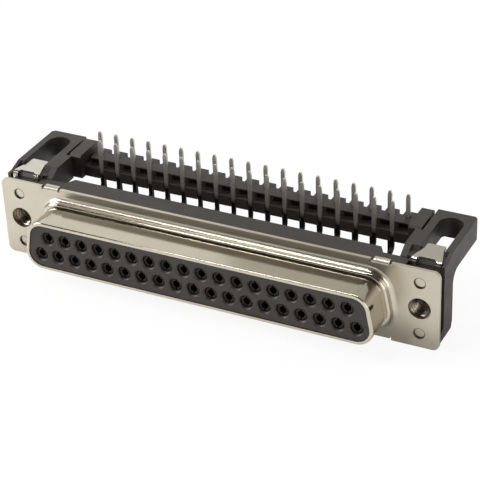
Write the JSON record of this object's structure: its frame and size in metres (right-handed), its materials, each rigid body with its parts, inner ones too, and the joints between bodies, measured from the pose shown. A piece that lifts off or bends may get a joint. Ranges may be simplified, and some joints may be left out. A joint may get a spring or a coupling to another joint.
{
  "type": "d-sub connector",
  "caption": "Right-angle D-subminiature socket connector for circuit boards: stepped metal shell, staggered sockets, slotted side brackets, grounding straps and a comb round the tails.",
  "frame": {"origin": "midway between the two fixing holes, on the front face of the flange", "axes": "+X along the rows to the right as seen from the mating side, +Y from the mating face to the back, +Z to the circuit board side, where the tails end; the wide row of sockets lies on the -Z side"},
  "size_m": [0.0694, 0.0209, 0.0157],
  "materials": {
    "shell_tin": "deep-drawn steel sheet with a satin tin plating, brighter on the drawn shroud",
    "black_plastic": "glass-filled thermoplastic moulding, black, fine matt moulded surface",
    "strap_tin": "stamped and folded sheet with a bright tin plating",
    "insert_steel": "turned insert, nickel plated, tapped for a jackscrew",
    "contact_tin": "stamped and rolled copper alloy, tin plated on the tail, plain in the socket"
  },
  "bodies": {
    "root": {"front_shell": "shell_tin", "front_insulator": "black_plastic", "rear_insulator": "black_plastic", "tail_locator": "black_plastic", "bracket_left": "black_plastic", "bracket_right": "black_plastic", "grounding_strap_left": "strap_tin", "grounding_strap_right": "strap_tin", "threaded_insert_left": "insert_steel", "threaded_insert_right": "insert_steel", "contact_01": "contact_tin", "contact_02": "contact_tin", "contact_03": "contact_tin", "contact_04": "contact_tin", "contact_05": "contact_tin", "contact_06": "contact_tin", "contact_07": "contact_tin", "contact_08": "contact_tin", "contact_09": "contact_tin", "contact_10": "contact_tin", "contact_11": "contact_tin", "contact_12": "contact_tin", "contact_13": "contact_tin", "contact_14": "contact_tin", "contact_15": "contact_tin", "contact_16": "contact_tin", "contact_17": "contact_tin", "contact_18": "contact_tin", "contact_19": "contact_tin", "contact_20": "contact_tin", "contact_21": "contact_tin", "contact_22": "contact_tin", "contact_23": "contact_tin", "contact_24": "contact_tin", "contact_25": "contact_tin", "contact_26": "contact_tin", "contact_27": "contact_tin", "contact_28": "contact_tin", "contact_29": "contact_tin", "contact_30": "contact_tin", "contact_31": "contact_tin", "contact_32": "contact_tin", "contact_33": "contact_tin", "contact_34": "contact_tin", "contact_35": "contact_tin", "contact_36": "contact_tin", "contact_37": "contact_tin"}
  },
  "joints": []
}
